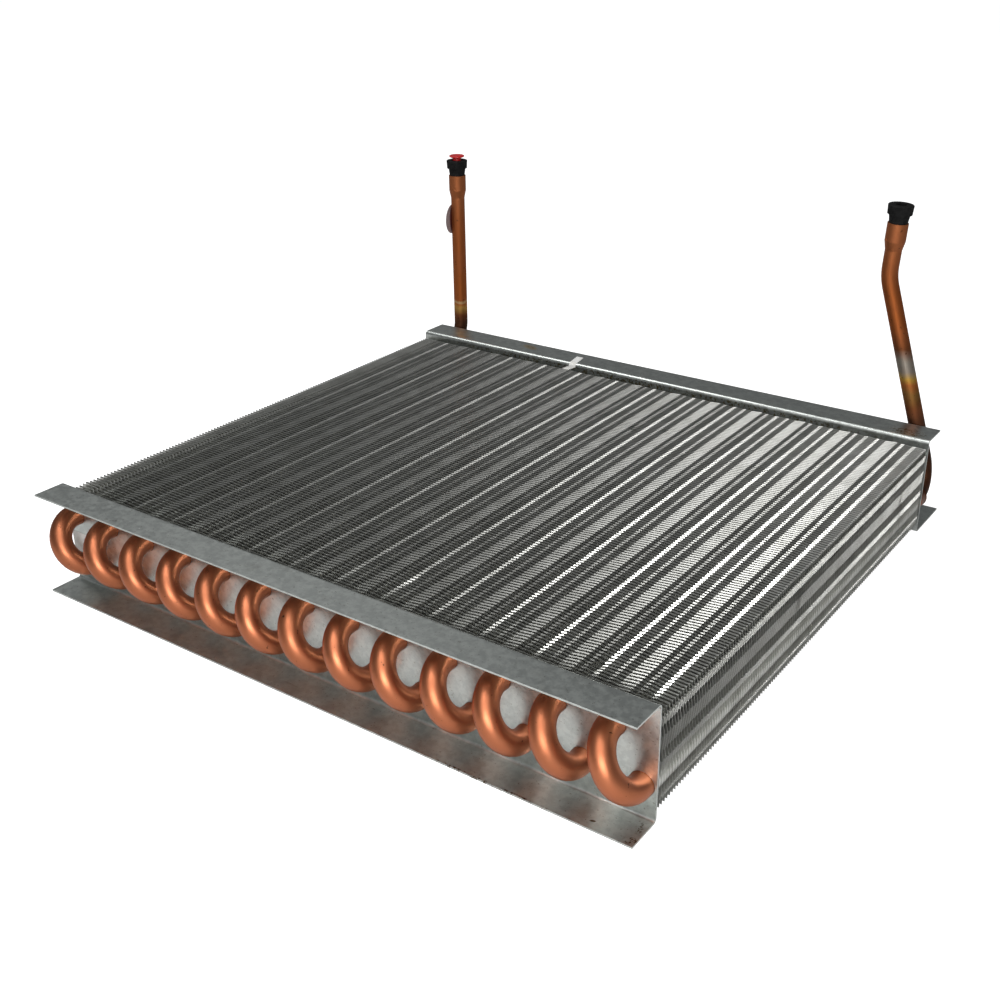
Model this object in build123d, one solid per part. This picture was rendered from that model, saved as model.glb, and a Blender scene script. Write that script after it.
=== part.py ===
from build123d import *
from math import cos, radians, sin, sqrt
import os

# Finned condenser coil, all sizes in millimetres.
# X runs along the end plates, Y from the front plate to the rear plate, Z up.
# While it is built, y = 0 is the outer face of the front plate and z = 0 its underside.

# Copper coil tube, 5/8 inch
TUBE_OD = 15.88
TUBE_WALL = 0.5

# Tube pattern: two staggered rows, every neighbour at the same centre distance
TUBE_PITCH = 38.1
TUBES_PER_ROW = 13

# End plates: one folded sheet each, with flanges that point away from the fins
CORE_LENGTH = 425.3
SHEET = 1.2
SHEET_BEND = 3.2
PLATE_HEIGHT = 79.0
TOP_FLANGE = 25.4
FRONT_FOOT = 25.4
REAR_FOOT = 49.0
PLATE_HOLE_CLEARANCE = 0.2

# Fins: eight to the inch, with collars round the tubes that meet end to end
FIN_PITCH = 3.175
FIN_THICKNESS = 0.19
FIN_DEPTH = 66.0
FIN_SETBACK = 1.0
COLLAR_WALL = 0.75
COLLAR_CLEARANCE = 0.1

# Hairpin tubes: a short straight in front of the plate, belled ends behind it
HAIRPIN_STRAIGHT = 3.0
BELL_START = 4.0
BELL_TAPER = 2.5
BELL_DEPTH = 10.0
BELL_LIP = 0.5
BELL_LIP_LENGTH = 1.2
BRAZE_CLEARANCE = 0.1

# Return bends: how deep they sit in the bells, and the straight that stays outside
BEND_INSERT = 8.0
BEND_STRAIGHT = 2.0

# Connection pipes
PIPE_OD = 13.0
PIPE_WALL = 0.85
PIPE_END_TAPER = 2.5
SOCKET_OD = 16.0
SOCKET_DEPTH = 14.0
SOCKET_TAPER = 7.0
DIMPLE_RADIUS = 1.6
DIMPLE_DEPTH = 0.5
DIMPLE_HEIGHT = 2.0

# Inlet pipe: out of the upper row's left end, a short run, elbow, straight up
INLET_RUN = 1.0
INLET_ELBOW = 24.0
INLET_TOP = 223.0
INLET_DIMPLE_TURN = -70.0

# Outlet pipe: out of the lower row's right end, elbow, a leaning run, a bend and a short top.
# Its elbow turns past upright, so the run in front of it is longer than the inlet's.
OUTLET_RUN = 5.0
OUTLET_ELBOW = 22.0
OUTLET_LOW_BEND = 60.0
OUTLET_HIGH_BEND = 45.0
OUTLET_SETBACK = 9.5
OUTLET_LOW_STEP = 13.6
OUTLET_LOW_Z = 78.0
OUTLET_LEAN = 50.0
OUTLET_TOP_LEAN = 2.2
OUTLET_TOP = 233.0
OUTLET_TOP_RUN = 42.0
OUTLET_DIMPLE_TURN = -125.0

# Rubber stoppers: a cone wedged in the socket under a stepped head
PLUG_CLEARANCE = 0.1
PLUG_INSERT = 9.0
PLUG_NECK = 6.8
PLUG_TAPER = 0.15
PLUG_HEAD_OD = 19.6
PLUG_HEAD = 7.2
PLUG_DRAFT = 0.4
PLUG_EDGE = 0.4
PLUG_RECESS_OD = 8.2
PLUG_RECESS_DEPTH = 4.5

# Red cap: a pin with a flared disc head
CAP_CLEARANCE = 0.1
CAP_PIN_DEPTH = 4.0
CAP_NECK = 1.9
CAP_FLARE = 1.4
CAP_HEAD_OD = 14.1
CAP_HEAD = 1.3
CAP_RIM = 0.8
CAP_DISH = 0.4

# Round tag on the inlet pipe's side: gap to the pipe, and how far below the socket it ends
TAG_OD = 27.5
TAG_THICKNESS = 0.3
TAG_GAP = 0.05
TAG_DROP = 7.25
TAG_TURN = 12.0

# Sizes and places that follow from the ones above
tube_radius = TUBE_OD / 2
row_gap = TUBE_PITCH * sqrt(3) / 2
row_angle = 60.0
plate_width = TUBES_PER_ROW * TUBE_PITCH
upper_z = (PLATE_HEIGHT + row_gap) / 2
lower_z = (PLATE_HEIGHT - row_gap) / 2
first_upper_x = -plate_width / 2 + TUBE_PITCH / 4
bell_radius = tube_radius + BRAZE_CLEARANCE
bell_base = CORE_LENGTH + BELL_START + BELL_TAPER
bell_end = bell_base + BELL_DEPTH
pipe_radius = PIPE_OD / 2
socket_bore = SOCKET_OD / 2 - PIPE_WALL
inlet_y = bell_end + PIPE_END_TAPER + INLET_RUN + INLET_ELBOW
outlet_y = bell_end + PIPE_END_TAPER + OUTLET_RUN + OUTLET_ELBOW
tag_height = INLET_TOP - SOCKET_DEPTH - SOCKET_TAPER - TAG_DROP - TAG_OD / 2


def upper_x(index):
    """Place of a tube of the upper row, counted from the left."""
    return first_upper_x + index * TUBE_PITCH


def lower_x(index):
    """The lower row is half a pitch further right."""
    return upper_x(index) + TUBE_PITCH / 2


tube_places = [(upper_x(i), upper_z) for i in range(TUBES_PER_ROW)]
tube_places += [(lower_x(i), lower_z) for i in range(TUBES_PER_ROW)]


def turned(points):
    """Solid of revolution about Z, from (radius, height) points."""
    return revolve(Plane.XZ * make_face(Polyline(*points, close=True)), Axis.Z)


def along_y(x, y, z):
    """Plane at a tube's axis whose normal points to the rear."""
    return Plane(origin=(x, y, z), x_dir=(1, 0, 0), z_dir=(0, 1, 0))


def end_plate(foot):
    """Folded channel with its flanges towards -Y, the web's outer face at y = 0."""
    skin = FilletPolyline(
        (-TOP_FLANGE, PLATE_HEIGHT),
        (SHEET, PLATE_HEIGHT),
        (SHEET, 0),
        (-foot, 0),
        radius=SHEET_BEND,
    )
    lining = FilletPolyline(
        (-foot, SHEET),
        (0, SHEET),
        (0, PLATE_HEIGHT - SHEET),
        (-TOP_FLANGE, PLATE_HEIGHT - SHEET),
        radius=SHEET_BEND - SHEET,
    )
    foot_edge = Line((-foot, 0), (-foot, SHEET))
    top_edge = Line((-TOP_FLANGE, PLATE_HEIGHT - SHEET), (-TOP_FLANGE, PLATE_HEIGHT))
    outline = make_face(skin.edges() + foot_edge.edges() + lining.edges() + top_edge.edges())
    return extrude(Plane.YZ.offset(-plate_width / 2) * outline, plate_width)


def with_tube_holes(plate, web_y):
    """Cut every tube hole through the web that lies about web_y."""
    hole = Cylinder(tube_radius + PLATE_HOLE_CLEARANCE, SHEET * 4)
    for x, z in tube_places:
        plate -= along_y(x, web_y, z) * hole
    return plate


def fin_pack():
    """Flat fins on a common pitch, with each row's collars drawn as one band."""
    count = int((CORE_LENGTH - 2 * SHEET) / FIN_PITCH)
    span = (count - 1) * FIN_PITCH
    first = (CORE_LENGTH - span) / 2
    width = plate_width - 2 * FIN_SETBACK
    band = 2 * (tube_radius + COLLAR_CLEARANCE + COLLAR_WALL)
    middle = PLATE_HEIGHT / 2
    fin_top = middle + FIN_DEPTH / 2
    fin_bottom = middle - FIN_DEPTH / 2
    levels = [
        (upper_z + band / 2, fin_top),
        (lower_z + band / 2, upper_z - band / 2),
        (fin_bottom, lower_z - band / 2),
    ]
    section = Pos(CORE_LENGTH / 2, middle) * Rectangle(span + FIN_THICKNESS, FIN_DEPTH)
    gaps = []
    for low, high in levels:
        gap = Rectangle(FIN_PITCH - FIN_THICKNESS, high - low)
        for index in range(count - 1):
            gaps.append(Pos(first + (index + 0.5) * FIN_PITCH, (low + high) / 2) * gap)
    pack = extrude(Plane.YZ.offset(-width / 2) * (section - gaps), width)
    bore = Cylinder(tube_radius + COLLAR_CLEARANCE, CORE_LENGTH)
    return pack - [along_y(x, CORE_LENGTH / 2, z) * bore for x, z in tube_places]


def u_bend(turn):
    """Half ring of tube from x = 0 to x = one pitch, on the front for a positive turn."""
    ring = Circle(tube_radius) - Circle(tube_radius - TUBE_WALL)
    return revolve(Plane.XZ * ring, Axis((TUBE_PITCH / 2, 0, 0), (0, 0, 1)), turn)


def hairpin():
    """Upper leg on the Y axis, lower leg one pitch away along X, U-bend in front."""
    inner = tube_radius - TUBE_WALL
    leg = turned([
        (inner, -HAIRPIN_STRAIGHT),
        (tube_radius, -HAIRPIN_STRAIGHT),
        (tube_radius, CORE_LENGTH + BELL_START),
        (bell_radius + TUBE_WALL, bell_base),
        (bell_radius + TUBE_WALL, bell_end - BELL_LIP_LENGTH),
        (bell_radius + TUBE_WALL + BELL_LIP, bell_end),
        (bell_radius + BELL_LIP, bell_end),
        (bell_radius, bell_end - BELL_LIP_LENGTH),
        (bell_radius, bell_base),
        (inner, CORE_LENGTH + BELL_START),
    ])
    front = Pos(0, -HAIRPIN_STRAIGHT, 0) * u_bend(180)
    return along_y(0, 0, 0) * leg + along_y(TUBE_PITCH, 0, 0) * leg + front


def return_bend():
    """Two short legs in the bells of neighbouring hairpins, bend towards the rear."""
    straight = BEND_INSERT + BEND_STRAIGHT
    leg = Cylinder(tube_radius, straight) - Cylinder(tube_radius - TUBE_WALL, straight)
    start = bell_end - BEND_INSERT
    legs = [along_y(x, start + straight / 2, 0) * leg for x in (0, TUBE_PITCH)]
    return legs[0] + legs[1] + Pos(0, start + straight, 0) * u_bend(-180)


def rim_plane(points):
    """Plane of a pipe's mouth, with its normal out of the pipe."""
    return Plane(origin=points[-1], x_dir=(1, 0, 0), z_dir=points[-1] - points[-2])


def pipe(points, radii, dimple_turn):
    """Bent tube through its corner points, from the bell it sits in to its swaged socket."""
    foot = Plane(origin=points[0], z_dir=points[1] - points[0])
    rim = rim_plane(points)
    end_length = BEND_INSERT + PIPE_END_TAPER
    mouth_length = SOCKET_DEPTH + SOCKET_TAPER
    end = turned([
        (tube_radius - PIPE_WALL, 0),
        (tube_radius, 0),
        (tube_radius, BEND_INSERT),
        (pipe_radius, end_length),
        (pipe_radius - PIPE_WALL, end_length),
        (tube_radius - PIPE_WALL, BEND_INSERT),
    ])
    mouth = turned([
        (pipe_radius - PIPE_WALL, -mouth_length),
        (pipe_radius, -mouth_length),
        (SOCKET_OD / 2, -SOCKET_DEPTH),
        (SOCKET_OD / 2, 0),
        (socket_bore, 0),
        (socket_bore, -SOCKET_DEPTH),
    ])
    start = foot.origin + foot.z_dir * end_length
    stop = rim.origin - rim.z_dir * mouth_length
    path = FilletPolyline(start, *points[1:-1], stop, radius=radii)
    ring = Circle(pipe_radius) - Circle(pipe_radius - PIPE_WALL)
    run = sweep(Plane(origin=start, z_dir=foot.z_dir) * ring, path=path)
    ball = Pos(SOCKET_OD / 2 + DIMPLE_RADIUS - DIMPLE_DEPTH, 0, DIMPLE_HEIGHT - SOCKET_DEPTH)
    dimple = rim * Rot(0, 0, dimple_turn) * ball * Sphere(DIMPLE_RADIUS)
    return foot * end + run + rim * mouth - dimple


def plug():
    """Rubber stopper, z = 0 at the socket's rim, with a recess in its head."""
    rim = socket_bore - PLUG_CLEARANCE
    head = PLUG_HEAD_OD / 2
    top = PLUG_NECK + PLUG_HEAD
    return turned([
        (0, -PLUG_INSERT),
        (rim - PLUG_INSERT * PLUG_TAPER, -PLUG_INSERT),
        (rim + PLUG_NECK * PLUG_TAPER, PLUG_NECK),
        (head - PLUG_DRAFT, PLUG_NECK),
        (head, top - PLUG_EDGE),
        (head - PLUG_EDGE, top),
        (PLUG_RECESS_OD / 2, top),
        (PLUG_RECESS_OD / 2, top - PLUG_RECESS_DEPTH),
        (0, top - PLUG_RECESS_DEPTH),
    ])


def red_cap():
    """Pin in the stopper's recess under a flared disc, z = 0 at the stopper's top."""
    pin = PLUG_RECESS_OD / 2 - CAP_CLEARANCE
    head = CAP_HEAD_OD / 2
    head_base = CAP_NECK + CAP_FLARE
    head_top = head_base + CAP_HEAD
    return turned([
        (0, -CAP_PIN_DEPTH),
        (pin, -CAP_PIN_DEPTH),
        (pin, CAP_NECK),
        (head, head_base),
        (head, head_top - CAP_DISH),
        (head - CAP_RIM, head_top),
        (head - 2 * CAP_RIM, head_top - CAP_DISH),
        (0, head_top - CAP_DISH),
    ])


def round_tag():
    """Thin disc that touches the inlet pipe's left side, edge on to the front."""
    disc = Cylinder(TAG_OD / 2, TAG_THICKNESS)
    reach = pipe_radius + TAG_GAP + TAG_THICKNESS / 2
    turn = radians(TAG_TURN)
    outward = Vector(-cos(turn), -sin(turn), 0)
    centre = Vector(upper_x(0), inlet_y, tag_height) + outward * reach
    return Plane(origin=centre, x_dir=(0, 0, 1), z_dir=outward) * disc


inlet_x = upper_x(0)
inlet_points = [
    Vector(inlet_x, bell_end - BEND_INSERT, upper_z),
    Vector(inlet_x, inlet_y, upper_z),
    Vector(inlet_x, inlet_y, INLET_TOP),
]

outlet_x = lower_x(TUBES_PER_ROW - 1)
outlet_high_x = outlet_x - OUTLET_LEAN
outlet_points = [
    Vector(outlet_x, bell_end - BEND_INSERT, lower_z),
    Vector(outlet_x, outlet_y, lower_z),
    Vector(outlet_x - OUTLET_LOW_STEP, outlet_y - OUTLET_SETBACK, OUTLET_LOW_Z),
    Vector(outlet_high_x, outlet_y - OUTLET_SETBACK, OUTLET_TOP - OUTLET_TOP_RUN),
    Vector(outlet_high_x + OUTLET_TOP_LEAN, outlet_y - OUTLET_SETBACK, OUTLET_TOP),
]
outlet_radii = [OUTLET_ELBOW, OUTLET_LOW_BEND, OUTLET_HIGH_BEND]

nodes = {}
nodes["front_end_plate"] = with_tube_holes(end_plate(FRONT_FOOT), 0)
rear_blank = mirror(end_plate(REAR_FOOT), about=Plane.XZ)
nodes["rear_end_plate"] = with_tube_holes(Pos(0, CORE_LENGTH, 0) * rear_blank, CORE_LENGTH)
nodes["fin_pack"] = fin_pack()

one_hairpin = Rot(0, row_angle, 0) * hairpin()
for index in range(TUBES_PER_ROW):
    nodes[f"hairpin_{index + 1:02d}"] = Pos(upper_x(index), 0, upper_z) * one_hairpin

one_return = Rot(0, -row_angle, 0) * return_bend()
for index in range(TUBES_PER_ROW - 1):
    nodes[f"return_bend_{index + 1:02d}"] = Pos(lower_x(index), 0, lower_z) * one_return

nodes["inlet_pipe"] = pipe(inlet_points, [INLET_ELBOW], INLET_DIMPLE_TURN)
nodes["outlet_pipe"] = pipe(outlet_points, outlet_radii, OUTLET_DIMPLE_TURN)
nodes["inlet_plug"] = rim_plane(inlet_points) * plug()
nodes["outlet_plug"] = rim_plane(outlet_points) * plug()
nodes["red_cap"] = rim_plane(inlet_points) * Pos(0, 0, PLUG_NECK + PLUG_HEAD) * red_cap()
nodes["round_tag"] = round_tag()

# The origin is on the floor, under the middle of the whole coil
box = Compound(children=[Compound(node.solids()) for node in nodes.values()]).bounding_box()
to_origin = Pos(-box.center().X, -box.center().Y, -box.min.Z)

os.makedirs("parts", exist_ok=True)
for name, node in nodes.items():
    export_step(to_origin * Compound(node.solids()), f"parts/{name}.step")
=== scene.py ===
import math
import random

import bpy
from mathutils import Matrix, Vector


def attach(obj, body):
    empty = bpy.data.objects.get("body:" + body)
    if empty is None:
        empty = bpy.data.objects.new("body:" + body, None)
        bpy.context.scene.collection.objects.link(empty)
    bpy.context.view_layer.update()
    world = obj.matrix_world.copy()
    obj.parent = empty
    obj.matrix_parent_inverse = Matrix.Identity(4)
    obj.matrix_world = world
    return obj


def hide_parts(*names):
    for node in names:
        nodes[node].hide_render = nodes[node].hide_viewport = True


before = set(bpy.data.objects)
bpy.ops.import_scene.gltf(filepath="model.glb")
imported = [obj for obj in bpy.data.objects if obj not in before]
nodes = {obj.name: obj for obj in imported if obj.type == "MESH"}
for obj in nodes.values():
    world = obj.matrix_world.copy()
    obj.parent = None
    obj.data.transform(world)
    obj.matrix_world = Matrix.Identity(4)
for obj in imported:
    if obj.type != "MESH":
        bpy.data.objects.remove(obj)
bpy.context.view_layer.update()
seed = random.Random(7)
MM = 0.001

# The part's drawing frame inside the row frame, in millimetres: y = 0 is the front plate's outer face
SHIFT_X = 0.1375
SHIFT_Y = -225.699

# Sizes of the coil, in millimetres
TUBE_OD = 15.88
PITCH = 38.1
TUBES = 13
CORE = 425.3
SHEET = 1.2
SHEET_BEND = 3.2
HEIGHT = 79.0
BELL_END = CORE + 16.5
BELL_LIP_RADIUS = 9.04
ROW_GAP = PITCH * math.sqrt(3) / 2
UPPER_Z = (HEIGHT + ROW_GAP) / 2
LOWER_Z = (HEIGHT - ROW_GAP) / 2
PLATE_WIDTH = TUBES * PITCH
FIRST_UPPER = -PLATE_WIDTH / 2 + PITCH / 4
TUBE_PLACES = [(FIRST_UPPER + i * PITCH, UPPER_Z) for i in range(TUBES)]
TUBE_PLACES += [(FIRST_UPPER + (i + 0.5) * PITCH, LOWER_Z) for i in range(TUBES)]

FIN_PITCH = 3.175
FIN_THICK = 0.19
FIN_DEPTH = 66.0
FIN_HALF = PLATE_WIDTH / 2 - 1.0
FIN_COUNT = 133
FIRST_FIN = (CORE - (FIN_COUNT - 1) * FIN_PITCH) / 2
TOP = (HEIGHT + FIN_DEPTH) / 2
BOTTOM = (HEIGHT - FIN_DEPTH) / 2


def place(x, y, z):
    """Millimetres of the drawing frame to metres of the row frame."""
    return ((x + SHIFT_X) * MM, (y + SHIFT_Y) * MM, z * MM)


# Sockets of a Mix node that mixes colours
MIX_FACTOR = 0
MIX_FIRST = 6
MIX_SECOND = 7
MIX_RESULT = 2


class Recipe:
    """A material's node tree, with short names for the nodes that the finishes share."""

    def __init__(self, name):
        self.material = bpy.data.materials.new(name)
        self.material.use_nodes = True
        self.nodes = self.material.node_tree.nodes
        self.links = self.material.node_tree.links
        self.shader = self.nodes["Principled BSDF"]
        self.where = self.nodes.new("ShaderNodeTexCoord").outputs["Object"]

    def give(self, value, socket):
        """A number or colour is set on the socket, and a node's output is linked to it."""
        if isinstance(value, bpy.types.NodeSocket):
            self.links.new(value, socket)
        else:
            socket.default_value = value

    def finish(self, **values):
        """Sets the shader's own sockets, with _ for the spaces in their names."""
        for name, value in values.items():
            self.give(value, self.shader.inputs[name.replace("_", " ")])
        return self.material

    def noise(self, scale, detail=3.0, rough=0.55, stretch=(1, 1, 1)):
        """Clouds in the piece's own metres, from 0 to 1 and mostly near the middle."""
        mapping = self.nodes.new("ShaderNodeMapping")
        mapping.inputs["Scale"].default_value = stretch
        self.links.new(self.where, mapping.inputs["Vector"])
        texture = self.nodes.new("ShaderNodeTexNoise")
        texture.inputs["Scale"].default_value = scale
        texture.inputs["Detail"].default_value = detail
        texture.inputs["Roughness"].default_value = rough
        self.links.new(mapping.outputs["Vector"], texture.inputs["Vector"])
        return texture.outputs["Fac"]

    def span(self, value, low, high, to_low=0.0, to_high=1.0):
        """Stretches low to high over to_low to to_high, and holds the ends."""
        node = self.nodes.new("ShaderNodeMapRange")
        for socket, number in zip(("From Min", "From Max", "To Min", "To Max"), (low, high, to_low, to_high)):
            node.inputs[socket].default_value = number
        self.links.new(value, node.inputs["Value"])
        return node.outputs["Result"]

    def mix(self, factor, first, second):
        node = self.nodes.new("ShaderNodeMix")
        node.data_type = "RGBA"
        self.give(factor, node.inputs[MIX_FACTOR])
        self.give(first, node.inputs[MIX_FIRST])
        self.give(second, node.inputs[MIX_SECOND])
        return node.outputs[MIX_RESULT]

    def math(self, operation, first, second):
        node = self.nodes.new("ShaderNodeMath")
        node.operation = operation
        self.give(first, node.inputs[0])
        self.give(second, node.inputs[1])
        return node.outputs[0]

    def axis(self, name):
        """A place's X, Y or Z in metres of the row frame."""
        node = self.nodes.new("ShaderNodeSeparateXYZ")
        self.links.new(self.where, node.inputs[0])
        return node.outputs[name]

    def near(self, centre, half_sizes, turn=0.0, edge=0.4):
        """1 inside an ellipsoid given in the drawing frame's mm and turned about Z, 0 outside."""
        mapping = self.nodes.new("ShaderNodeMapping")
        mapping.vector_type = "TEXTURE"
        mapping.inputs["Location"].default_value = place(*centre)
        mapping.inputs["Rotation"].default_value = (0, 0, math.radians(turn))
        mapping.inputs["Scale"].default_value = [size * MM for size in half_sizes]
        self.links.new(self.where, mapping.inputs["Vector"])
        length = self.nodes.new("ShaderNodeVectorMath")
        length.operation = "LENGTH"
        self.links.new(mapping.outputs["Vector"], length.inputs[0])
        return self.span(length.outputs["Value"], 1.0, 1.0 - edge)

    def bump(self, height, strength, distance):
        node = self.nodes.new("ShaderNodeBump")
        node.inputs["Strength"].default_value = strength
        node.inputs["Distance"].default_value = distance
        self.links.new(height, node.inputs["Height"])
        self.links.new(node.outputs["Normal"], self.shader.inputs["Normal"])


# Colours, as linear red, green and blue
ZINC_DARK = (0.485, 0.51, 0.49, 1)
ZINC_LIGHT = (0.582, 0.61, 0.583, 1)
ZINC_DIRT = (0.26, 0.25, 0.22, 1)
STAIN_BROWN = (0.09, 0.06, 0.03, 1)
STAIN_TAN = (0.58, 0.48, 0.33, 1)
STAIN_OLIVE = (0.20, 0.17, 0.09, 1)
FLECK_WHITE = (0.95, 0.95, 0.95, 1)
FIN_DARK = (0.50, 0.50, 0.47, 1)
FIN_LIGHT = (0.64, 0.64, 0.61, 1)
COPPER = (0.47, 0.16, 0.078, 1)
COPPER_DARK = (0.36, 0.13, 0.06, 1)
COPPER_PIT = (0.10, 0.04, 0.02, 1)
SOOT = (0.035, 0.018, 0.012, 1)
SCORCHED = (0.06, 0.028, 0.016, 1)
BROWN = (0.16, 0.055, 0.02, 1)
PIPE = (0.34, 0.098, 0.026, 1)
PIPE_TOP = (0.38, 0.13, 0.05, 1)
STRAW = (0.45, 0.26, 0.07, 1)
PALE_GOLD = (0.55, 0.40, 0.20, 1)
ORANGE = (0.40, 0.13, 0.035, 1)
YELLOW = (0.52, 0.33, 0.06, 1)
OLIVE = (0.24, 0.13, 0.035, 1)
GREY_TINT = (0.30, 0.28, 0.24, 1)
BRAZE = (0.42, 0.36, 0.26, 1)
RUBBER = (0.006, 0.006, 0.006, 1)
RUBBER_DUST = (0.014, 0.014, 0.014, 1)
RED = (0.55, 0.015, 0.015, 1)
RED_DARK = (0.38, 0.01, 0.012, 1)
TAG_PALE = (0.42, 0.35, 0.36, 1)
TAG_SHADE_RED = (0.13, 0.03, 0.025, 1)
PAPER = (0.86, 0.86, 0.84, 1)
PAPER_WORN = (0.62, 0.60, 0.55, 1)
FLOOR = (0.6, 0.6, 0.6, 1)


def galvanised(name, stains):
    """Zinc coated sheet with spangle, streaks, fine dirt and its own stains."""
    m = Recipe(name)
    cloud = m.noise(45.0, 4.0, 0.6)
    spangle = m.noise(220.0, 3.0, 0.65)
    streak = m.noise(60.0, 4.0, 0.7, (0.25, 3.0, 3.0))
    color = m.mix(m.span(spangle, 0.40, 0.60), ZINC_DARK, ZINC_LIGHT)
    color = m.mix(m.span(m.noise(640.0, 1.0), 0.69, 0.75, 0.0, 0.7), color, ZINC_DIRT)
    color = m.mix(m.span(cloud, 0.62, 0.82, 0.0, 0.35), color, ZINC_DIRT)
    color = m.mix(m.span(streak, 0.68, 0.76, 0.0, 0.5), color, ZINC_DIRT)
    for centre, half_sizes, turn, stain, speckled in stains:
        mask = m.near(centre, half_sizes, turn)
        if speckled:
            mask = m.math("MULTIPLY", mask, m.span(m.noise(420.0, 4.0, 0.7), 0.50, 0.58))
        color = m.mix(mask, color, stain)
    m.bump(m.noise(420.0, 3.0, 0.6), 0.15, 0.0004)
    return m.finish(Base_Color=color, Metallic=0.95, Roughness=m.span(spangle, 0.3, 0.7, 0.28, 0.36))


def aluminium():
    m = Recipe("fin_aluminium")
    color = m.mix(m.span(m.noise(60.0, 3.0, 0.6), 0.3, 0.7), FIN_DARK, FIN_LIGHT)
    return m.finish(Base_Color=color, Metallic=1.0, Roughness=0.32)


# Least roughness of the coil's and the pipes' copper, and how much more the tarnish adds
COIL_POLISH = 0.38
PIPE_POLISH = 0.55
TARNISH_ROUGH = 0.1


def copper(name, color_of, polish=COIL_POLISH):
    """Bare copper with tarnish and pits; color_of gives the colour under them."""
    m = Recipe(name)
    tarnish = m.noise(26.0, 4.0, 0.6)
    color = m.mix(m.span(tarnish, 0.4, 0.75, 0.0, 0.45), color_of(m), COPPER_DARK)
    color = m.mix(m.span(m.noise(330.0, 2.0, 0.5), 0.70, 0.76), color, COPPER_PIT)
    m.bump(tarnish, 0.12, 0.002)
    rough = m.span(tarnish, 0.3, 0.7, polish, polish + TARNISH_ROUGH)
    return m.finish(Base_Color=color, Metallic=1.0, Roughness=rough)


# Where the torch's browning starts, is full, cools and ends, in mm behind the rear plate's inner face
SCORCH_PLACES = (-2.0, 8.0, 24.0, 44.0)


def brazed_ends(m):
    """Copper that the torch has browned behind the rear plate."""
    heat = m.math("ADD", m.axis("Y"), m.span(m.noise(50.0, 3.0), 0.3, 0.7, -0.006, 0.006))
    start, full, cooler, last = [place(0, CORE + y, 0)[1] for y in SCORCH_PLACES]
    scorched = m.mix(m.span(m.noise(90.0, 4.0, 0.7), 0.35, 0.65), SCORCHED, BROWN)
    color = m.mix(m.span(heat, start, full, 0.0, 0.85), COPPER, scorched)
    return m.mix(m.span(heat, cooler, last, 0.0, 0.6), color, ORANGE)


def heat_bands(bands):
    """Copper coloured by heat in bands, from the bottom up, as a function for copper()."""
    def color_of(m):
        wobble = m.span(m.noise(60.0, 2.0, 0.5), 0.3, 0.7, -0.0025, 0.0025)
        low, high = bands[0][0], bands[-1][0]
        share = m.span(m.math("ADD", m.axis("Z"), wobble), low * MM, high * MM)
        ramp = m.nodes.new("ShaderNodeValToRGB")
        while len(ramp.color_ramp.elements) < len(bands):
            ramp.color_ramp.elements.new(0.5)
        for element, (height, color) in zip(ramp.color_ramp.elements, bands):
            element.position = (height - low) / (high - low)
            element.color = color
        m.links.new(share, ramp.inputs["Fac"])
        return ramp.outputs["Color"]
    return color_of


def dull(name, color, other, rough, grain, specular=0.5):
    """Rubber, plastic or paper: two near colours in small clouds, and a fine grain."""
    m = Recipe(name)
    m.bump(m.noise(grain * 3, 3.0, 0.6), 0.15, 0.0002)
    mixed = m.mix(m.span(m.noise(grain, 3.0, 0.6), 0.4, 0.7), color, other)
    return m.finish(Base_Color=mixed, Roughness=rough, Specular_IOR_Level=specular)


# Middle and half sizes of the film's red-brown patch, which is painted shade and a painted reflection of the
# copper pipe
TAG_SHADE_MIDDLE = (FIRST_UPPER, 467.9, 181.0)
TAG_SHADE_SIZE = (40.0, 6.0, 14.5)


def tag_film():
    """Pale film, with painted shade and a painted reflection of the copper in red-brown in the middle where
    it lies on the pipe.
    """
    m = Recipe("tag_film")
    # Painted shade and painted copper reflection on the film next to the pipe
    middle = m.near(TAG_SHADE_MIDDLE, TAG_SHADE_SIZE, edge=0.25)
    color = m.mix(m.span(m.noise(140.0), 0.35, 0.7, 0.0, 0.3), TAG_PALE, ZINC_DIRT)
    return m.finish(Base_Color=m.mix(middle, color, TAG_SHADE_RED), Roughness=0.45)


# Stains from the photo: middle, half sizes, turn in degrees, colour, and whether it is speckled
FRONT_STAINS = (
    ((244.0, -21.0, 1.2), (4.5, 4.5, 3.0), 0, STAIN_BROWN, True),
    ((243.5, -9.5, 1.2), (3.0, 6.0, 3.0), 0, STAIN_BROWN, True),
    ((219.0, -19.0, 1.2), (2.2, 1.0, 2.0), 20, STAIN_BROWN, False),
    ((150.0, -24.8, 0.6), (60.0, 1.2, 2.0), 0, STAIN_BROWN, True),
    ((-142.6, -18.4, 79.0), (0.6, 0.6, 0.6), 0, FLECK_WHITE, False),
    ((-168.0, -21.0, 79.0), (7.0, 2.0, 1.0), 15, ZINC_DIRT, True),
)
REAR_STAINS = (
    ((-134.7, 440.2, 79.0), (10.5, 5.0, 1.0), -19, STAIN_TAN, False),
    ((-134.7, 440.2, 79.0), (6.5, 2.2, 1.0), -19, STAIN_OLIVE, True),
    ((0.0, CORE - SHEET, 73.5), (260.0, 2.0, 4.0), 0, STAIN_OLIVE, True),
    ((-205.0, 431.5, 79.0), (12.0, 2.5, 1.5), 0, STAIN_TAN, True),
    ((228.0, 433.0, 79.0), (18.0, 9.0, 1.5), 0, STAIN_OLIVE, True),
)
# Heat colours up the pipes, each with its height in mm
INLET_BANDS = (
    (40.0, SOOT), (80.0, SCORCHED), (89.0, BROWN), (96.0, STRAW), (100.0, ORANGE), (101.5, PALE_GOLD),
    (103.5, PIPE), (165.0, PIPE), (205.0, PIPE_TOP),
)
OUTLET_BANDS = (
    (40.0, SOOT), (80.0, SCORCHED), (91.0, BROWN), (101.5, OLIVE), (107.0, ORANGE), (112.0, YELLOW),
    (119.0, GREY_TINT), (126.0, GREY_TINT), (135.0, BROWN), (148.0, PIPE), (185.0, PIPE), (215.0, PIPE_TOP),
)

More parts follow.
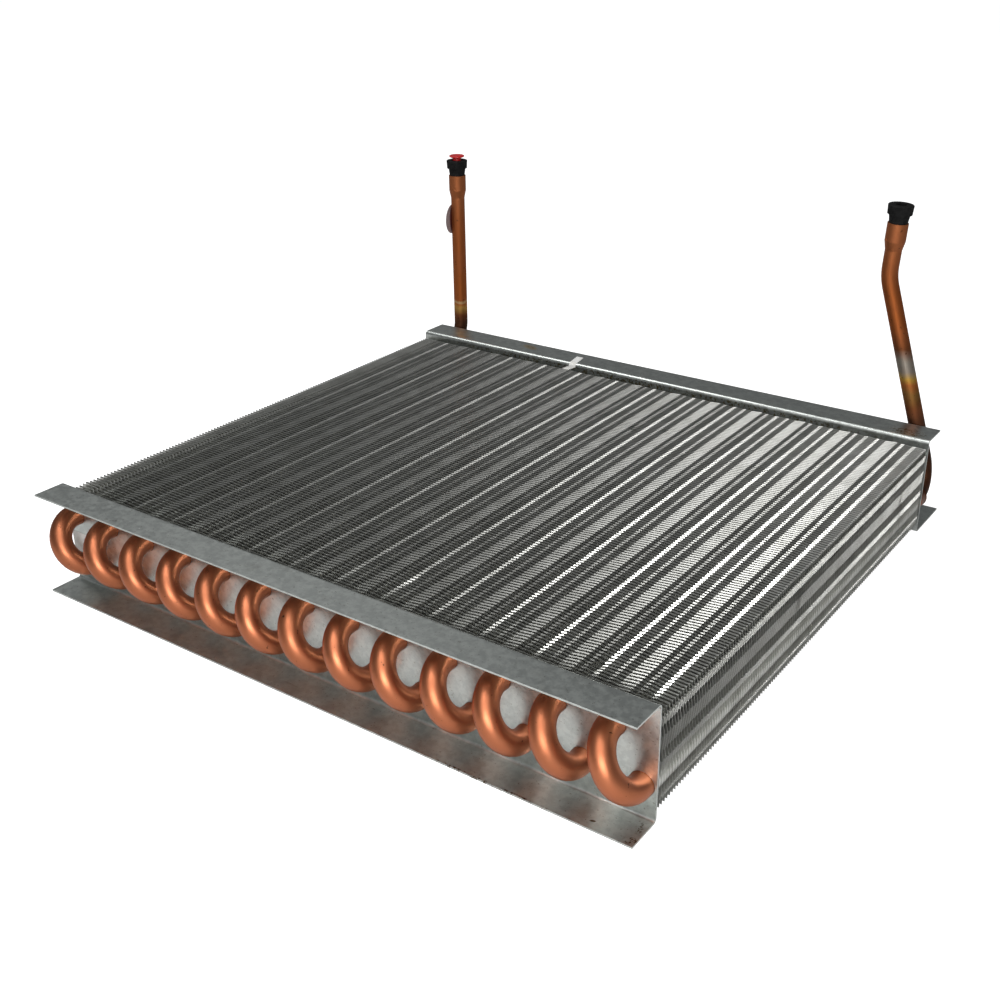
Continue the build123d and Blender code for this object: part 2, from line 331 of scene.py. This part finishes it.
fin_metal = aluminium()
coil_copper = copper("copper", brazed_ends)
rubber = dull("black_rubber", RUBBER, RUBBER_DUST, 0.7, 220.0, 0.12)
paper = dull("plain_paper", PAPER, PAPER_WORN, 0.6, 90.0, 0.4)
FINISHES = {
    "front_end_plate": galvanised("front_steel", FRONT_STAINS),
    "rear_end_plate": galvanised("rear_steel", REAR_STAINS),
    "fin_pack": fin_metal,
    "inlet_pipe": copper("inlet_copper", heat_bands(INLET_BANDS), PIPE_POLISH),
    "outlet_pipe": copper("outlet_copper", heat_bands(OUTLET_BANDS), PIPE_POLISH),
    "inlet_plug": rubber,
    "outlet_plug": rubber,
    "red_cap": dull("red_plastic", RED, RED_DARK, 0.32, 60.0),
    "round_tag": tag_film(),
}
for name, node in nodes.items():
    node.data.materials.clear()
    node.data.materials.append(FINISHES.get(name, coil_copper))


def add_piece(name, vertices, faces, material, replaced=()):
    """A visible piece on the fixed body; the parts that it replaces are hidden."""
    mesh = bpy.data.meshes.new(name)
    mesh.from_pydata(vertices, [], faces)
    mesh.materials.append(material)
    piece = bpy.data.objects.new(name, mesh)
    bpy.context.scene.collection.objects.link(piece)
    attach(piece, "root")
    if replaced:
        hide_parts(*replaced)
    return piece


def closed_sheet(front, back, vertices, faces):
    """Closed shell between two grids of places, given in mm as rows from the top down."""
    start = len(vertices)
    down, across = len(front), len(front[0])
    for grid in (front, back):
        for row in grid:
            vertices.extend(place(*point) for point in row)
    behind = down * across
    for j in range(down - 1):
        for i in range(across - 1):
            a = start + j * across + i
            b, c, d = a + 1, a + across + 1, a + across
            faces.append((a, d, c, b))
            faces.append((a + behind, b + behind, c + behind, d + behind))
    last_row = (down - 1) * across
    for i in range(start, start + across - 1):
        faces.append((i, i + 1, i + 1 + behind, i + behind))
        j = i + last_row
        faces.append((j + 1, j, j + behind, j + 1 + behind))
    for i in range(start, start + last_row, across):
        faces.append((i + across, i, i + behind, i + across + behind))
        j = i + across - 1
        faces.append((j, j + across, j + across + behind, j + behind))


# Fins
# Ripple along the top and bottom edges. Each knot: its place in sixteenths of a tube pitch, counted from
# a lower tube, and in mm the offset at the edge and how much further to the front the level under it lies.
# The short stretches that turn to the right are the bright lines, and the long one the broad stripe.
STEPS = 16
RIPPLE = (
    (0.2, 0.10, 0.40), (3.0, -0.50, 0.35), (4.0, 0.00, 0.35), (6.2, -0.65, 0.40),
    (9.8, 1.00, 0.45), (11.3, -0.20, 0.35), (12.4, 0.20, 0.35), (15.0, -0.90, 0.40),
)
LIP_DEPTH = 0.8
DEEP_DEPTH = 2.6
EVEN_DEPTH = 5.0
# Levels of a rippled strip: depth from the edge, which of a column's two offsets it takes, and its share
EDGE_LEVELS = ((0.0, 0, 1), (LIP_DEPTH, 1, 1), (DEEP_DEPTH, 1, 1), (EVEN_DEPTH, 1, 0))
EDGE_SCATTER = 0.015
END_CLEAR = 0.5
FINS_PER_PIECE = 27
# Waves down the depth: level and displacement in mm
WAVES = (
    (66.0, 1.0), (61.0, -1.1), (57.5, 0.2), (53.0, 1.1), (44.0, -1.2), (36.5, 1.0),
    (32.0, -0.7), (28.0, 0.3), (20.0, 0.3), (14.0, 1.1), (12.5, 0.4),
)
# Bent fins along the top: place, half width along a fin, half length across the fins, lean and drop
DENTS = (
    (48.5, 41.0, 5.0, 9.0, 0.6, 0.8),
    (197.0, 24.0, 4.0, 5.0, -1.1, 0.5),
    (38.0, 335.0, 2.5, 3.0, -1.2, 0.3),
    (64.0, 345.0, 2.5, 3.0, -1.2, 0.3),
    (202.5, 207.5, 2.5, 3.5, 1.0, 0.6),
    (-243.5, 17.0, 4.0, 2.0, -1.0, -1.6),
)
# The fins' right ends turn to the rear over their last few mm
SIDE_MARGIN = 6.0
END_TURN = 0.4
# Bent ends on the right side: place along Y, lowest and highest level, and lean
SIDE_DENTS = ((376.5, 26.0, 66.0, -0.5), (187.0, 44.0, 60.0, -0.5), (211.0, 9.0, 22.0, -0.5))
SIDE_REACH = 2.6


def fin_columns():
    """Places along a fin, each with its offsets at the edge and under the lip."""
    columns = []
    origin = FIRST_UPPER + PITCH / 2
    for pitch in range(-1, math.ceil(2 * FIN_HALF / PITCH)):
        for knot, edge, lip in RIPPLE:
            x = origin + (pitch + knot / STEPS) * PITCH
            if abs(x) < FIN_HALF - END_CLEAR:
                columns.append((x, (edge, edge - lip)))
    return [(-FIN_HALF, columns[0][1])] + columns + [(FIN_HALF, columns[-1][1])]


FIN_COLUMNS = fin_columns()


def bent(x, y, z):
    """Where a point of a fin lies once the bent fins' lean and drop are counted in."""
    share = max(0.0, 1.0 - (TOP - z) / EVEN_DEPTH)
    lean = drop = 0.0
    for at_x, at_y, wide, long, full_lean, full_drop in DENTS:
        if share and abs(x - at_x) < 3 * wide and abs(y - at_y) < 3 * long:
            near = share * math.exp(-((x - at_x) / wide) ** 2 - ((y - at_y) / long) ** 2)
            lean += full_lean * near
            drop += full_drop * near
    if x > FIN_HALF - SIDE_MARGIN / 2:
        for at_y, low, high, full_lean in SIDE_DENTS:
            if low < z < high:
                lean += full_lean * math.exp(-((y - at_y) / SIDE_REACH) ** 2)
    return (x, y + lean, z - drop)


def fin_shell(rows, vertices, faces):
    """A stretch of one fin, from rows of places on its middle surface."""
    half = FIN_THICK / 2
    rows = [[bent(*point) for point in row] for row in rows]
    front = [[(x, y - half, z) for x, y, z in row] for row in rows]
    back = [[(x, y + half, z) for x, y, z in row] for row in rows]
    closed_sheet(front, back, vertices, faces)


def edge_strip(y, edge_z, inward, vertices, faces):
    """Rippled strip at a fin's edge, with small differences from its neighbours."""
    push = [seed.gauss(0, EDGE_SCATTER) for _ in FIN_COLUMNS]
    rows = []
    for depth, level, share in EDGE_LEVELS:
        z = edge_z + inward * depth
        row = [(x, y + share * (offsets[level] + push[i]), z) for i, (x, offsets) in enumerate(FIN_COLUMNS)]
        rows.append(row)
    fin_shell(rows if inward < 0 else rows[::-1], vertices, faces)


def wave_sheet(y, vertices, faces):
    """The fin between its two rippled strips."""
    levels = [(TOP - EVEN_DEPTH, 0.0), *WAVES, (BOTTOM + EVEN_DEPTH, 0.0)]
    stops = ((-FIN_HALF, 0.0), (FIN_HALF - SIDE_MARGIN, -END_TURN), (FIN_HALF, END_TURN))
    rows = [[(x, y + wave + (turn if wave else 0.0), z) for x, turn in stops] for z, wave in levels]
    fin_shell(rows, vertices, faces)


for first in range(0, FIN_COUNT, FINS_PER_PIECE):
    vertices, faces = [], []
    for index in range(first, min(first + FINS_PER_PIECE, FIN_COUNT)):
        y = FIRST_FIN + index * FIN_PITCH
        edge_strip(y, TOP, -1, vertices, faces)
        wave_sheet(y, vertices, faces)
        edge_strip(y, BOTTOM, 1, vertices, faces)
    name = f"fins_{first // FINS_PER_PIECE + 1}"
    add_piece(name, vertices, faces, fin_metal, ("fin_pack",))


# Rings round the tubes: collars between the fins, and braze at the bells
RING_STEPS = 32
COLLAR_GAP = 0.1
COLLAR_STAND = 0.36
COLLAR_INNER = TUBE_OD / 2 + COLLAR_GAP
COLLAR_OUTER = TUBE_OD / 2 + COLLAR_STAND
LAST_FIN = FIRST_FIN + (FIN_COUNT - 1) * FIN_PITCH
COLLAR_PROFILE = (
    (FIRST_FIN, COLLAR_OUTER), (LAST_FIN, COLLAR_OUTER), (LAST_FIN, COLLAR_INNER), (FIRST_FIN, COLLAR_INNER),
)
# Braze fillet from the bell's lip down to the tube: how far behind the bell, and radius
BRAZE_GAP = 0.02
BRAZE_INNER = TUBE_OD / 2 + BRAZE_GAP
BRAZE_FILLET = (
    (BRAZE_GAP, BRAZE_INNER), (BRAZE_GAP, BELL_LIP_RADIUS - 0.2), (0.4, BELL_LIP_RADIUS - 0.4),
    (1.0, BRAZE_INNER + 0.3), (1.5, BRAZE_INNER),
)
BRAZE_PROFILE = [(BELL_END + behind, radius) for behind, radius in BRAZE_FILLET]


def ring(x, z, profile, vertices, faces):
    """Closed ring about a tube's axis, turned from (y, radius) points."""
    start = len(vertices)
    for y, radius in profile:
        for step in range(RING_STEPS):
            turn = 2 * math.pi * step / RING_STEPS
            vertices.append(place(x + radius * math.cos(turn), y, z + radius * math.sin(turn)))
    for i in range(len(profile)):
        here = start + i * RING_STEPS
        there = start + (i + 1) % len(profile) * RING_STEPS
        for step in range(RING_STEPS):
            after = (step + 1) % RING_STEPS
            faces.append((here + step, there + step, there + after, here + after))


def rings(name, profile, material):
    """One piece with a ring round every tube."""
    vertices, faces = [], []
    for x, z in TUBE_PLACES:
        ring(x, z, profile, vertices, faces)
    return add_piece(name, vertices, faces, material)


def braze():
    m = Recipe("braze")
    color = m.mix(m.span(m.noise(260.0, 3.0, 0.6), 0.4, 0.6), BRAZE, SCORCHED)
    return m.finish(Base_Color=color, Metallic=1.0, Roughness=0.45)


rings("fin_collars", COLLAR_PROFILE, fin_metal)
braze_rings = rings("braze_rings", BRAZE_PROFILE[::-1], braze())
braze_rings.data.shade_smooth()

# Plain paper labels: one on the front web's left end, one strip over the rear plate's top bend
PAPER_THICK = 0.1
PAPER_GAP = 0.03
LABEL_LEFT = -247.2
LABEL_RIGHT = -227.5
LABEL_LOW = 14.0
LABEL_HIGH = 40.5
LABEL_CORNER = 1.2
LABEL_STEPS = 6
STRIP_WIDTH = 7.0
STRIP_FLANGE_X = -80.5
STRIP_BEND_X = -78.0
STRIP_END_X = -85.0
STRIP_FLANGE_Y = 441.8
STRIP_END_Z = 72.2
STRIP_CURL = 0.5
STRIP_TURNS = range(90, 181, 15)
STRIP_STEPS = 4


def front_label():
    """Flat label with clipped corners."""
    rows = []
    for z, inset in (
            (LABEL_HIGH, LABEL_CORNER), (LABEL_HIGH - LABEL_CORNER, 0.0),
            (LABEL_LOW + LABEL_CORNER, 0.0), (LABEL_LOW, LABEL_CORNER)):
        left, right = LABEL_LEFT + inset, LABEL_RIGHT - inset
        rows.append([(left + (right - left) * i / LABEL_STEPS, z) for i in range(LABEL_STEPS + 1)])
    near, far = -PAPER_GAP - PAPER_THICK, -PAPER_GAP
    vertices, faces = [], []
    closed_sheet([[(x, near, z) for x, z in row] for row in rows],
                 [[(x, far, z) for x, z in row] for row in rows], vertices, faces)
    return add_piece("front_label", vertices, faces, paper)


def strip_path():
    """Middle line of the strip as (x, y, z) and its outward direction (y, z)."""
    face_y = CORE - SHEET
    centre_y, centre_z = face_y + SHEET_BEND, HEIGHT - SHEET_BEND
    line = [(STRIP_FLANGE_X, STRIP_FLANGE_Y, HEIGHT, 0.0, 1.0)]
    for degrees in STRIP_TURNS:
        out_y, out_z = math.cos(math.radians(degrees)), math.sin(math.radians(degrees))
        y, z = centre_y + SHEET_BEND * out_y, centre_z + SHEET_BEND * out_z
        line.append((STRIP_BEND_X, y, z, out_y, out_z))
    for i in range(1, STRIP_STEPS + 1):
        part = i / STRIP_STEPS
        x = STRIP_BEND_X + (STRIP_END_X - STRIP_BEND_X) * part
        z = centre_z + (STRIP_END_Z - centre_z) * part
        line.append((x, face_y - STRIP_CURL * part ** 3, z, -1.0, 0.0))
    return line


def strip_label():
    """Narrow strip over the bend, its lower end a little free."""
    vertices, faces = [], []
    grids = []
    for lift in (PAPER_GAP + PAPER_THICK, PAPER_GAP):
        grids.append([
            [(x + side * STRIP_WIDTH / 2, y + lift * out_y, z + lift * out_z) for side in (1, 0, -1)]
            for x, y, z, out_y, out_z in strip_path()
        ])
    closed_sheet(*grids, vertices, faces)
    return add_piece("strip_label", vertices, faces, paper)


front_label()
strip_label()

# Camera at the photograph's view: place in the drawing frame's mm, angles in radians
CAMERA_AT = (500.766, -492.554, 461.373)
YAW = 0.625114
PITCH_DOWN = 0.447159
ROLL = -0.014019
FOCAL_PIXELS = 1259.006
FRAME_PIXELS = 1000
SENSOR = 36.0
CLIP_START = 0.01


def camera_matrix():
    level = math.cos(PITCH_DOWN)
    forward = Vector((-math.sin(YAW) * level, math.cos(YAW) * level, -math.sin(PITCH_DOWN)))
    right = forward.cross(Vector((0, 0, 1))).normalized()
    up = right.cross(forward)
    right_rolled = right * math.cos(ROLL) + up * math.sin(ROLL)
    up_rolled = up * math.cos(ROLL) - right * math.sin(ROLL)
    rotation = Matrix((right_rolled, up_rolled, -forward)).transposed().to_4x4()
    return Matrix.Translation(Vector(place(*CAMERA_AT))) @ rotation


camera = bpy.data.objects.new("camera", bpy.data.cameras.new("camera"))
camera.data.sensor_width = SENSOR
camera.data.lens = FOCAL_PIXELS * SENSOR / FRAME_PIXELS
camera.data.clip_start = CLIP_START
camera.matrix_world = camera_matrix()
bpy.context.scene.collection.objects.link(camera)
bpy.context.scene.camera = camera

# Stage: a pale floor and world that the camera sees as white and the metal mirrors a little
FLOOR_HALF = 6.0
FLOOR_DROP = 0.0005
FLOOR_GLOW = 0.945
FLOOR_SHEEN = 0.12
WORLD_LEVEL = (0.101, 0.105, 0.107, 1)
WORLD_SHEEN = 0.03
WHITE = (1, 1, 1, 1)
AIM = Vector((0, 0, 0.05))


def floor():
    mesh = bpy.data.meshes.new("floor")
    corners = [(-1, -1), (1, -1), (1, 1), (-1, 1)]
    mesh.from_pydata([(x * FLOOR_HALF, y * FLOOR_HALF, -FLOOR_DROP) for x, y in corners], [], [(0, 1, 2, 3)])
    m = Recipe("floor")
    path = m.nodes.new("ShaderNodeLightPath")
    seen = m.math("MULTIPLY", path.outputs["Is Camera Ray"], FLOOR_GLOW)
    mirrored = m.math("MULTIPLY", path.outputs["Is Glossy Ray"], FLOOR_SHEEN)
    glow = m.math("ADD", seen, mirrored)
    pale = m.finish(Base_Color=FLOOR, Roughness=0.9, Emission_Color=WHITE, Emission_Strength=glow)
    mesh.materials.append(pale)
    stage = bpy.data.objects.new("floor", mesh)
    bpy.context.scene.collection.objects.link(stage)


def studio():
    world = bpy.data.worlds.new("studio")
    world.use_nodes = True
    tree = world.node_tree
    path = tree.nodes.new("ShaderNodeLightPath")
    mix = tree.nodes.new("ShaderNodeMix")
    mix.data_type = "RGBA"
    mix.inputs[MIX_FIRST].default_value = WORLD_LEVEL
    mix.inputs[MIX_SECOND].default_value = WHITE
    share = tree.nodes.new("ShaderNodeMath")
    share.operation = "MULTIPLY_ADD"
    share.inputs[1].default_value = WORLD_SHEEN
    tree.links.new(path.outputs["Is Glossy Ray"], share.inputs[0])
    tree.links.new(path.outputs["Is Camera Ray"], share.inputs[2])
    tree.links.new(share.outputs[0], mix.inputs[MIX_FACTOR])
    tree.links.new(mix.outputs[MIX_RESULT], tree.nodes["Background"].inputs["Color"])
    bpy.context.scene.world = world


def soft_light(name, azimuth, elevation, distance, size, power):
    """Area light aimed at the coil: degrees from the front towards +X and up, metres and watts."""
    turn, rise = math.radians(azimuth), math.radians(elevation)
    direction = Vector((math.sin(turn) * math.cos(rise), -math.cos(turn) * math.cos(rise), math.sin(rise)))
    data = bpy.data.lights.new(name, "AREA")
    data.shape = "RECTANGLE"
    data.size, data.size_y = size
    data.energy = power
    light = bpy.data.objects.new(name, data)
    light.location = direction * distance + AIM
    light.rotation_euler = direction.to_track_quat("Z", "Y").to_euler()
    bpy.context.scene.collection.objects.link(light)


floor()
studio()
soft_light("key", azimuth=30, elevation=16, distance=1.0, size=(0.45, 0.2), power=5)
soft_light("fill", azimuth=8, elevation=36, distance=0.95, size=(0.4, 0.4), power=0.78)
soft_light("front_above", azimuth=0, elevation=62, distance=2.2, size=(0.9, 0.9), power=12)
soft_light("right_above", azimuth=60, elevation=62, distance=2.2, size=(0.9, 0.9), power=14)
soft_light("left_above", azimuth=-90, elevation=62, distance=2.2, size=(0.9, 0.9), power=12)
soft_light("behind", azimuth=-130, elevation=34, distance=2.2, size=(0.9, 0.6), power=0.4)

bpy.context.scene.view_settings.view_transform = "Standard"
